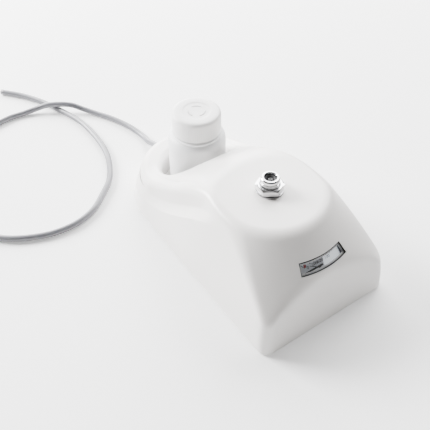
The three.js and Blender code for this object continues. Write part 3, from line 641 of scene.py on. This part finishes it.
def make_housing(look):
    """Outer and inner skins joined along the bottom edge, then cut for coupler, window and gland."""
    outer = full_columns(SHELL_BOTTOM, 0, {"edge": WELL_RADIUS + WELL_LIP, "lip": True,
                                           "radius": WELL_RADIUS, "floor": WELL_FLOOR})
    inner = full_columns(SHELL_BOTTOM, WALL, {"edge": CUP_RADIUS, "lip": False,
                                              "radius": CUP_RADIUS, "floor": CUP_UNDERSIDE})
    vertices, faces, starts = [], [], []
    for columns, flip in ((outer, False), (inner, True)):
        start, rows, count = len(vertices), len(columns[0]), len(columns)
        starts.append((start, rows, count))
        for column in columns:
            vertices += column
        for i in range(count):
            a, b = start + i * rows, start + ((i + 1) % count) * rows
            for k in range(rows - 1):
                face = (a + k, b + k, b + k + 1, a + k + 1)
                faces.append(face[::-1] if flip else face)
        ends = [start + i * rows + rows - 1 for i in range(count)]
        faces.append(tuple(ends[::-1] if flip else ends))
    (first, rows_a, count), (second, rows_b, _) = starts
    for i in range(count):
        n = (i + 1) % count
        faces.append((first + n * rows_a, first + i * rows_a, second + i * rows_b, second + n * rows_b))
    housing = mesh_object("housing_shell", vertices, faces)
    coupler_hole = lathe("tool_a", [(0, 66), (PANEL_HOLE, 66), (PANEL_HOLE, 84), (0, 84)], 64, (0, COUPLER_Y))
    gland_hole = lathe("tool_b", [(0, -9), (GLAND_HOLE, -9), (GLAND_HOLE, 9), (0, 9)], 48)
    gland_hole.data.transform(Matrix.Translation(Vector((GLAND_X, 117, LINE_Z)) * MM)
                              @ Matrix.Rotation(math.pi / 2, 4, "X"))
    cut_with(housing, coupler_hole, gland_hole, window_block("tool_c"))
    for polygon in housing.data.polygons:
        polygon.use_smooth = True
    housing.data.set_sharp_from_angle(angle=math.radians(40))
    return finish_piece(housing, "station", "shell_plastic", look, "housing")


def window_block(name, margin=0, low=-6, high=6):
    """The window's curved outline as a block between two depths under the cone, drawn in by a margin."""
    slant = math.hypot(1, CONE_SLOPE)
    half_angle = WINDOW_HALF_ANGLE - math.degrees(margin / WINDOW_OUTER)
    near, far = WINDOW_INNER + margin, WINDOW_OUTER - margin
    vertices, faces = [], []
    steps = 40
    for i in range(steps + 1):
        angle = math.radians(mix(-half_angle, half_angle, i / steps))
        for radius, depth in ((near, low), (far, low), (far, high), (near, high)):
            away = radius + depth / slant
            face_z = PLATEAU_HEIGHT - (radius - CONE_TOP_RADIUS) / CONE_SLOPE
            height = face_z + depth * CONE_SLOPE / slant
            vertices.append((away * math.sin(angle), COUPLER_Y - away * math.cos(angle), height))
    faces.append((0, 1, 2, 3))
    for i in range(steps):
        for k in range(4):
            a, b = 4 * i + k, 4 * i + (k + 1) % 4
            faces.append((a, a + 4, b + 4, b))
    end = 4 * steps
    faces.append((end + 3, end + 2, end + 1, end))
    return mesh_object(name, vertices, faces)


def make_window_trim(looks):
    """A black ring round the window's edge, painted shadow of the recess, and a grey bezel behind it."""
    # black rubber ring: painted shadow along the window's edge
    shadow_ring = window_block("window_shadow_ring", 0.15, -1.1, -0.35)
    cut_with(shadow_ring, window_block("tool_d", 0.6, -2, 2))
    finish_piece(shadow_ring, "station", "rubber", looks["rubber"])
    bezel = window_block("window_bezel", 0.2, -2.4, -1.4)
    cut_with(bezel, window_block("tool_e", 1.5, -4, 2))
    finish_piece(bezel, "station", "base_plastic", looks["bezel"])


# ------------------------------------------------------------------ bottle

BOTTLE_RADIUS = 25.5
BOTTLE_FLOOR = 9.9
NECK_RADIUS = 18.4
NECK_BORE = 16
NECK_TOP = 87.2
NECK_THREAD_HEIGHT = 0.65
NECK_THREAD_START = 74
NECK_THREAD_PITCH = 3
CAP_RADIUS = 21.5
CAP_BOTTOM = 72
CAP_TOP = 91
CAP_RIBS = 72
CAP_RIB_DEPTH = 0.16
WELL_CENTRE = (0, WELL_Y)


def make_bottle(look):
    outside = [
        (0, BOTTLE_FLOOR + 0.9), (19, BOTTLE_FLOOR + 0.6), (21.5, BOTTLE_FLOOR), (23.6, BOTTLE_FLOOR + 0.3),
        (BOTTLE_RADIUS, BOTTLE_FLOOR + 2.6), (BOTTLE_RADIUS, 62.5), (24.9, 65.6), (23.2, 67.6),
        (21.2, 68.6), (21.2, 69.3), (22.5, 69.5), (22.5, 70.7), (21.6, 71.1), (NECK_RADIUS, 71.2),
    ]
    thread = []
    for turn in range(3):
        z = NECK_THREAD_START + NECK_THREAD_PITCH * turn
        crest = NECK_RADIUS + NECK_THREAD_HEIGHT
        thread += [(NECK_RADIUS, z), (crest, z + 0.6), (crest, z + 1.1), (NECK_RADIUS, z + 1.7)]
    inside = [
        (NECK_RADIUS, NECK_TOP), (NECK_BORE, NECK_TOP), (NECK_BORE, 69), (21.2, 66.9), (23.4, 64.8),
        (24.3, 62), (24.3, BOTTLE_FLOOR + 4), (22.3, BOTTLE_FLOOR + 2), (0, BOTTLE_FLOOR + 2.1),
    ]
    profile = rounded(outside + thread + inside, 1.2, 3)
    bottle = lathe("bottle_blown", profile, 128, WELL_CENTRE)
    return finish_piece(bottle, "bottle", "bottle_plastic", look, "bottle_body")


def make_cap(look):
    """A ribbed screw cap with a shallow dished top and three raised arcs in place of any mark."""
    skirt_low, skirt_high = CAP_BOTTOM + 1.4, CAP_TOP - 3

    def ripple(spot, angle):
        radius, z = spot
        above_hem = smoothstep(skirt_low, skirt_low + 1, z)
        inside_skirt = above_hem * (1 - smoothstep(skirt_high, CAP_TOP - 1.5, z))
        if radius < CAP_RADIUS - 0.6:
            return radius
        return radius - CAP_RIB_DEPTH * inside_skirt * (0.5 + 0.5 * math.cos(CAP_RIBS * angle))

    side = [(CAP_RADIUS - 0.15, mix(CAP_TOP - 3.2, CAP_BOTTOM + 0.5, k / 12)) for k in range(13)]
    crown = [
        (0, CAP_TOP - 0.55), (11.2, CAP_TOP - 0.5), (12.6, CAP_TOP - 0.05), (17.6, CAP_TOP - 0.05),
        (19.7, CAP_TOP - 0.5), (20.9, CAP_TOP - 1.6),
    ]
    under = [
        (CAP_RADIUS - 0.4, CAP_BOTTOM + 0.1), (CAP_RADIUS - 1.9, CAP_BOTTOM + 0.1),
        (CAP_RADIUS - 2, CAP_TOP - 2), (0, CAP_TOP - 2),
    ]
    profile = rounded(crown + side + under, 0.8, 3)
    cap = lathe("bottle_cap_ribbed", profile, 6 * CAP_RIBS, WELL_CENTRE, ripple)
    finish_piece(cap, "cap", "cap_plastic", look, "bottle_cap")
    for k in range(3):
        arc = raised_arc(f"cap_arc_{k + 1}", 7.2, 1.5, 120 * k + 20, 70, CAP_TOP - 0.62, 0.32)
        finish_piece(arc, "cap", "cap_plastic", look)


def raised_arc(name, radius, width, start, sweep, low, height):
    steps = 20
    vertices, faces = [], []
    for k in range(steps + 1):
        angle = math.radians(start + sweep * k / steps)
        taper = 1 - 0.5 * abs(2 * k / steps - 1) ** 6
        half = width / 2 * taper
        for r, z in ((radius - half, low), (radius + half, low), (radius + half * 0.8, low + height),
                     (radius - half * 0.8, low + height)):
            vertices.append((r * math.cos(angle), WELL_Y + r * math.sin(angle), z))
    for k in range(steps):
        for j in range(4):
            a, b = 4 * k + j, 4 * k + (j + 1) % 4
            faces.append((a, a + 4, b + 4, b))
    faces += [(0, 1, 2, 3), (4 * steps + 3, 4 * steps + 2, 4 * steps + 1, 4 * steps)]
    return mesh_object(name, vertices, faces)


# ------------------------------------------------------------------ coupler

COUPLER_RADIUS = 7.5
COUPLER_BORE = 4.75
COUPLER_TOP = 91
GROOVE_RADIUS = 6.2
STEM_RADIUS = 2.2
NUT_FLATS = 20
NUT_BOTTOM = 79.4
NUT_TOP = 84.4
NUT_BORE = 7.8
NUT_TURN = math.radians(25.5)
WASHER = (7.9, 11, 78.35, 79.1)
COUPLER_CENTRE = (0, COUPLER_Y)


def make_coupler(chrome, steel, rubber):
    thread = []
    for k in range(5):
        z = 74.9 + 2.1 * k
        thread += [(COUPLER_RADIUS - 0.5, z), (COUPLER_RADIUS, z + 0.8), (COUPLER_RADIUS, z + 1.1),
                   (COUPLER_RADIUS - 0.5, z + 1.9)]
    outside = [(3, 58), (4.6, 58), (4.6, 70), (10, 70.4), (10, 74.6), (COUPLER_RADIUS - 0.5, 74.7)]
    top = [
        (COUPLER_RADIUS - 0.5, 85.5), (GROOVE_RADIUS, 85.7), (GROOVE_RADIUS, COUPLER_TOP - 3.8),
        (COUPLER_RADIUS, COUPLER_TOP - 3.3), (COUPLER_RADIUS, COUPLER_TOP - 0.9),
        (COUPLER_RADIUS - 0.9, COUPLER_TOP), (COUPLER_BORE + 0.6, COUPLER_TOP),
        (COUPLER_BORE, COUPLER_TOP - 0.8), (COUPLER_BORE, 70), (3, 69),
    ]
    body = lathe("coupler_turned", rounded(outside + thread + top + [(3, 58.2)], 0.35, 3), 96, COUPLER_CENTRE)
    finish_piece(body, "station", "chrome", chrome, "coupler_body")
    nut = hex_nut("coupler_nut_chamfered")
    finish_piece(nut, "station", "chrome", chrome, "coupler_nut")
    inner, outer, low, high = WASHER
    ring = [(inner, 78.7), (inner, low), (outer, low), (outer, high), (inner, high), (inner, 78.75)]
    washer = lathe("coupler_washer_turned", rounded(ring, 0.15), 96, COUPLER_CENTRE)
    finish_piece(washer, "station", "steel", steel, "coupler_washer")
    wall, lip = COUPLER_BORE - 0.3, STEM_RADIUS + 0.4
    section = [
        (3.4, 85.3), (wall, 85.3), (wall, 89.4), (3.9, 89.6), (lip + 0.1, 88.4), (lip, 86.6), (3.3, 85.4),
    ]
    seat = lathe("coupler_seat_lip", rounded(section, 0.4), 64, COUPLER_CENTRE)
    finish_piece(seat, "station", "rubber", rubber, "coupler_seat")


def make_plunger(look):
    """The valve's push rod, dished at the tip where a handpiece's back end meets it."""
    tip = COUPLER_TOP - 2.4
    profile = [
        (0, 64), (1.3, 64), (1.4, 64.3), (1.4, 82), (4.1, 82), (4.2, 82.2), (4.2, 84.4), (4.1, 84.6),
        (STEM_RADIUS, 84.7), (STEM_RADIUS, tip - 0.5), (STEM_RADIUS - 0.5, tip), (0.9, tip),
        (0.5, tip - 0.5), (0, tip - 0.6),
    ]
    rod = lathe("valve_plunger_turned", rounded(profile, 0.2, 3), 48, COUPLER_CENTRE)
    finish_piece(rod, "plunger", "black_plastic", look, "valve_plunger")


SPRING_LOW = 70.3
SPRING_HIGH = 81.7
SPRING_RADIUS = 3.3
SPRING_WIRE = 0.42
SPRING_TURNS = 6


def make_spring(look):
    """A coil spring with a closed turn at each end, shortened by the plunger."""
    per_turn, sides = 32, 10
    steps = SPRING_TURNS * per_turn
    low, high = SPRING_LOW + SPRING_WIRE, SPRING_HIGH - SPRING_WIRE
    path = []
    for k in range(steps + 1):
        turn = k / per_turn
        rise = smoothstep(0, 1, clamp(turn / SPRING_TURNS))
        z = mix(low, high, mix(turn / SPRING_TURNS, rise, 0.5))
        angle = 2 * math.pi * turn
        path.append(Vector((SPRING_RADIUS * math.cos(angle), COUPLER_Y + SPRING_RADIUS * math.sin(angle), z)))
    vertices, faces = [], []
    for spot, side, up in path_frames(path):
        for j in range(sides):
            around = 2 * math.pi * j / sides
            across, above = SPRING_WIRE * math.cos(around), SPRING_WIRE * math.sin(around)
            vertices.append(spot + side * across + up * above)
    for i in range(steps):
        for j in range(sides):
            n = (j + 1) % sides
            faces.append((i * sides + j, i * sides + n, (i + 1) * sides + n, (i + 1) * sides + j))
    faces += [tuple(range(sides)), tuple(range(steps * sides, (steps + 1) * sides))]
    spring = mesh_object("valve_spring_wound", vertices, faces)
    finish_piece(spring, "station", "steel", look, "valve_spring")
    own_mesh(spring)


def hex_nut(name):
    """Hexagon with both faces chamfered by a cone, so each side shows its curved edge."""
    corner = NUT_FLATS / math.sqrt(3)
    sides = 144
    flat = NUT_FLATS / 2
    chamfer_low, chamfer_high = 9.7, 9.6

    def hexagon(angle):
        half_side = math.pi / 6
        sector = (angle + half_side) % (2 * half_side) - half_side
        off_flat = sector - half_side if sector > 0 else sector + half_side
        return min(flat / math.cos(off_flat), corner - 0.12)

    rows = [(NUT_BORE, NUT_BOTTOM + 0.4), (NUT_BORE + 0.4, NUT_BOTTOM), (chamfer_low, NUT_BOTTOM), None, None,
            (chamfer_high, NUT_TOP), (NUT_BORE + 0.5, NUT_TOP), (NUT_BORE, NUT_TOP - 0.5)]
    slope = 0.5
    vertices = []
    for row, spot in enumerate(rows):
        for k in range(sides):
            angle = 2 * math.pi * k / sides
            reach = hexagon(angle)
            if spot:
                radius, z = min(spot[0], reach), spot[1]
            elif row == 3:
                radius, z = reach, NUT_BOTTOM + slope * (reach - chamfer_low)
            else:
                radius, z = reach, NUT_TOP - slope * (reach - chamfer_high)
            turn = angle + NUT_TURN
            vertices.append((radius * math.cos(turn), COUPLER_Y + radius * math.sin(turn), z))
    faces = []
    count = len(rows)
    for row in range(count):
        for k in range(sides):
            n = (k + 1) % sides
            a, b = row * sides, (row + 1) % count * sides
            faces.append((a + k, a + n, b + n, b + k))
    nut = mesh_object(name, vertices, faces)
    nut.data.set_sharp_from_angle(angle=math.radians(22))
    return nut


# ------------------------------------------------------------------ gauge

POINTER_Y = -4.5
SCALE_REACH = 8.2
SCALE_SWEEP = 60
DIAL_FACE = -10
EDGE_BREAK = 0.15


def gauge_matrix():
    reach = CONE_TOP_RADIUS + CONE_SLOPE * (PLATEAU_HEIGHT - GAUGE_HEIGHT)
    place = Matrix.Translation(Vector((0, COUPLER_Y - reach, GAUGE_HEIGHT)) * MM)
    return place @ Matrix.Rotation(math.atan2(1, CONE_SLOPE), 4, "X")


def plate(corners, low, high):
    """A flat closed plate from (x, y) corners."""
    count = len(corners)
    vertices = [(x, y, low) for x, y in corners] + [(x, y, high) for x, y in corners]
    faces = [tuple(range(count))[::-1], tuple(range(count, 2 * count))]
    faces += [(k, (k + 1) % count, count + (k + 1) % count, count + k) for k in range(count)]
    return vertices, faces


def add_plate(store, corners, low, high):
    vertices, faces = plate(corners, low, high)
    start = len(store[0])
    store[0].extend(vertices)
    store[1].extend(tuple(start + i for i in face) for face in faces)


def make_dial(looks):
    ink_and_shadow, red, reflection_patch = ([], []), ([], []), ([], [])
    top = DIAL_FACE + 0.06
    low = DIAL_FACE - 0.02
    for k in range(25):
        angle = math.radians(mix(-SCALE_SWEEP, SCALE_SWEEP, k / 24))
        x = SCALE_REACH * math.tan(angle)
        long = k % 4 == 0
        half, depth = (0.32, 2.4) if long else (0.14, 1.3)
        y = POINTER_Y + SCALE_REACH
        lean = depth * math.tan(angle) * 0.35
        corners = [(x - lean - half, y - depth), (x - lean + half, y - depth), (x + half, y), (x - half, y)]
        add_plate(ink_and_shadow, corners, low, top)
    edge = SCALE_REACH * math.tan(math.radians(SCALE_SWEEP)) + 0.3
    y = POINTER_Y + SCALE_REACH
    add_plate(ink_and_shadow, [(-edge, y), (edge, y), (edge, y + 0.22), (-edge, y + 0.22)], low, top)
    # black bar along the dial's lower left: painted shadow inside the window, not print
    add_plate(ink_and_shadow, [(-18.5, -4.3), (4, -4.3), (3.4, -2.9), (-18.5, -2.9)], low, top)
    add_plate(red, [(-12.6, 0.4), (-10.4, 0.4), (-9.8, 4.2), (-12, 4.2)], low, top)
    # glowing patch on the dial's right half: painted reflection
    add_plate(reflection_patch, [(4.2, -6.4), (20.4, -6.4), (20.4, 6.4), (6.4, 6.4)], low, DIAL_FACE + 0.02)
    place = gauge_matrix()
    for name, store, slot, look in (("dial_ink_and_shadow", ink_and_shadow, "black_plastic", looks["black_plastic"]),
                                    ("dial_red_mark", red, "dial_paint", looks["red_print"]),
                                    ("dial_painted_reflection", reflection_patch, "dial_paint", looks["painted_reflection"])):
        obj = mesh_object(name, *store, smooth=False)
        obj.data.transform(place)
        finish_piece(obj, "station", slot, look)
    for k, label in enumerate(("0", "20", "40", "60", "80", "100")):
        angle = math.radians(mix(-SCALE_SWEEP, SCALE_SWEEP, k / 5))
        figure = text_mesh(f"dial_figure_{label}", label, 2.5)
        x = (SCALE_REACH - 3.4) * math.tan(angle) * 1.12
        figure.data.transform(place @ Matrix.Translation(Vector((x, POINTER_Y + 3.2, DIAL_FACE + 0.02)) * MM))
        finish_piece(figure, "station", "black_plastic", looks["black_plastic"])


def text_mesh(name, words, height):
    curve = bpy.data.curves.new(name, "FONT")
    curve.body = words
    curve.size = height * MM * 1.35
    curve.extrude = 0.03 * MM
    curve.align_x = "CENTER"
    holder = bpy.data.objects.new(name, curve)
    bpy.context.scene.collection.objects.link(holder)
    graph = bpy.context.evaluated_depsgraph_get()
    mesh = bpy.data.meshes.new_from_object(holder.evaluated_get(graph))
    bpy.data.objects.remove(holder)
    obj = bpy.data.objects.new(name, mesh)
    bpy.context.scene.collection.objects.link(obj)
    return obj


# ------------------------------------------------------------------ scene


def make_floor():
    size = 4
    floor = mesh_object("floor", [(-size, -size, 0), (size, -size, 0), (size, size, 0), (-size, size, 0)],
                        [(0, 1, 2, 3)], scale=1)
    look = plastic("floor_paint", (0.93, 0.93, 0.93), 0.9, 0.005)
    look.set(Emission_Color=(1, 1, 1, 1), Emission_Strength=0.4)
    floor.data.materials.append(look.material)


def area_light(name, location, target, size, power, colour=(1, 1, 1)):
    light = bpy.data.objects.new(name, bpy.data.lights.new(name, "AREA"))
    bpy.context.scene.collection.objects.link(light)
    light.location = location
    light.rotation_euler = (Vector(target) - Vector(location)).to_track_quat("-Z", "Y").to_euler()
    light.data.size = size
    light.data.energy = power
    light.data.color = colour
    return light


def make_lights():
    world = bpy.data.worlds.new("world")
    bpy.context.scene.world = world
    world.use_nodes = True
    background = world.node_tree.nodes["Background"]
    background.inputs["Color"].default_value = (1, 0.975, 0.95, 1)
    background.inputs["Strength"].default_value = 0.2
    area_light("key", (-0.9, 1.5, 0.95), (0, 0, 0.04), 0.9, 190)
    area_light("right", (1.2, 0.6, 1.1), (0, 0, 0.04), 1.2, 70)
    area_light("rear", (0.6, 1.7, 0.75), (0, 0, 0.04), 1.4, 110)


make_camera()
looks = make_looks()

tube_path = catmull_rom(TUBE_ROUTE, 8)
tube = hollow_tube("air_tube", tube_path, TUBE_RADIUS, TUBE_BORE)
finish_piece(tube, "station", "tube_plastic", looks["tube_plastic"], "supply_tube")

make_housing(looks["shell_plastic"])
make_bottle(looks["bottle_plastic"])
make_cap(looks["cap_plastic"])
make_coupler(looks["chrome"], looks["steel"], looks["rubber"])
make_plunger(looks["black_plastic"])
make_spring(looks["steel"])
make_dial(looks)
slots = {entry["node"]: entry["material_slot"] for entry in frame["record"]["subparts"]}
for node, slot in slots.items():
    obj = frame["nodes"][node]
    obj.data.materials.clear()
    obj.data.materials.append(looks[slot])
    bevel_edges(obj, EDGE_BREAK)
make_window_trim(looks)
make_floor()
make_lights()
